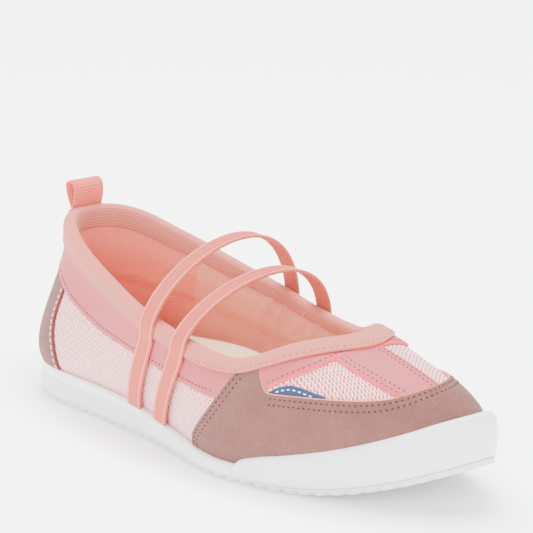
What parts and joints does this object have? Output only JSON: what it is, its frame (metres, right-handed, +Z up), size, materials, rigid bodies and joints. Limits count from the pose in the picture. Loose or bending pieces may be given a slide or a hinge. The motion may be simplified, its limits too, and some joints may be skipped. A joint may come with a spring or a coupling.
{
  "type": "ballerina sneaker",
  "caption": "Low-cut right ballerina sneaker with mesh and nubuck panels, two elastic straps over the instep, a heel pull loop and a cup sole with a toe bumper.",
  "frame": {"origin": "centre of the bounding box's footprint, on the floor the tread stands on", "axes": "+X to the toe, +Y to the inner side of the foot, +Z up"},
  "size_m": [0.2576, 0.0886, 0.0914],
  "materials": {
    "tread_rubber": "matt, fine ribbed edge",
    "sole_rubber": "satin, moulded",
    "bumper_rubber": "satin, smooth",
    "board": "fibre board",
    "footbed_foam": "brushed textile over foam",
    "stiffener": "matt sheet",
    "mesh": "two-tone open mesh",
    "mauve_nubuck": "nubuck",
    "pink_synthetic": "smooth matt synthetic",
    "blue_patch": "brushed textile",
    "foam": "open-cell foam",
    "heel_lining": "open diagonal knit",
    "vamp_lining": "fine knit",
    "binding": "fine ribbed tape",
    "elastic": "woven elastic",
    "tab_webbing": "ribbed webbing"
  },
  "bodies": {
    "shoe": {"outsole": "tread_rubber", "midsole_cup": "sole_rubber", "toe_bumper": "bumper_rubber", "insole_board": "board", "footbed": "footbed_foam", "heel_counter": "stiffener", "toe_puff": "stiffener", "quarter_mesh_outer": "mesh", "quarter_mesh_inner": "mesh", "vamp_mesh": "mesh", "mudguard": "mauve_nubuck", "heel_overlay": "mauve_nubuck", "collar_band_outer": "pink_synthetic", "collar_band_inner": "pink_synthetic", "throat_band": "pink_synthetic", "toe_stripe": "pink_synthetic", "side_patch": "blue_patch", "collar_foam": "foam", "heel_lining": "heel_lining", "vamp_lining": "vamp_lining", "collar_binding": "binding", "rear_strap_leg_outer": "elastic", "rear_strap_leg_inner": "elastic", "front_strap_leg_outer": "elastic", "front_strap_leg_inner": "elastic", "pull_tab_tail": "tab_webbing"},
    "rear_strap": {"rear_strap_arch": "elastic"},
    "front_strap": {"front_strap_arch": "elastic"},
    "pull_tab": {"pull_tab_loop": "tab_webbing"}
  },
  "joints": [
    {"name": "rear_strap_tilt", "type": "hinge", "parent": "shoe", "child": "rear_strap", "pos_m": [-0.01983, 0.0012, 0.05284], "axis": [0.0532, 0.9984, 0.0183], "range_deg": [-22, 8], "stiffness_Nm_per_rad": 0.02},
    {"name": "front_strap_tilt", "type": "hinge", "parent": "shoe", "child": "front_strap", "pos_m": [0.00089, 0.00132, 0.04906], "axis": [0.0506, 0.9985, 0.0196], "range_deg": [-8, 25], "stiffness_Nm_per_rad": 0.02},
    {"name": "pull_tab_bend", "type": "hinge", "parent": "shoe", "child": "pull_tab", "pos_m": [-0.11765, 0.00305, 0.07886], "axis": [0, 1, 0], "range_deg": [-50, 45], "stiffness_Nm_per_rad": 0.004}
  ]
}
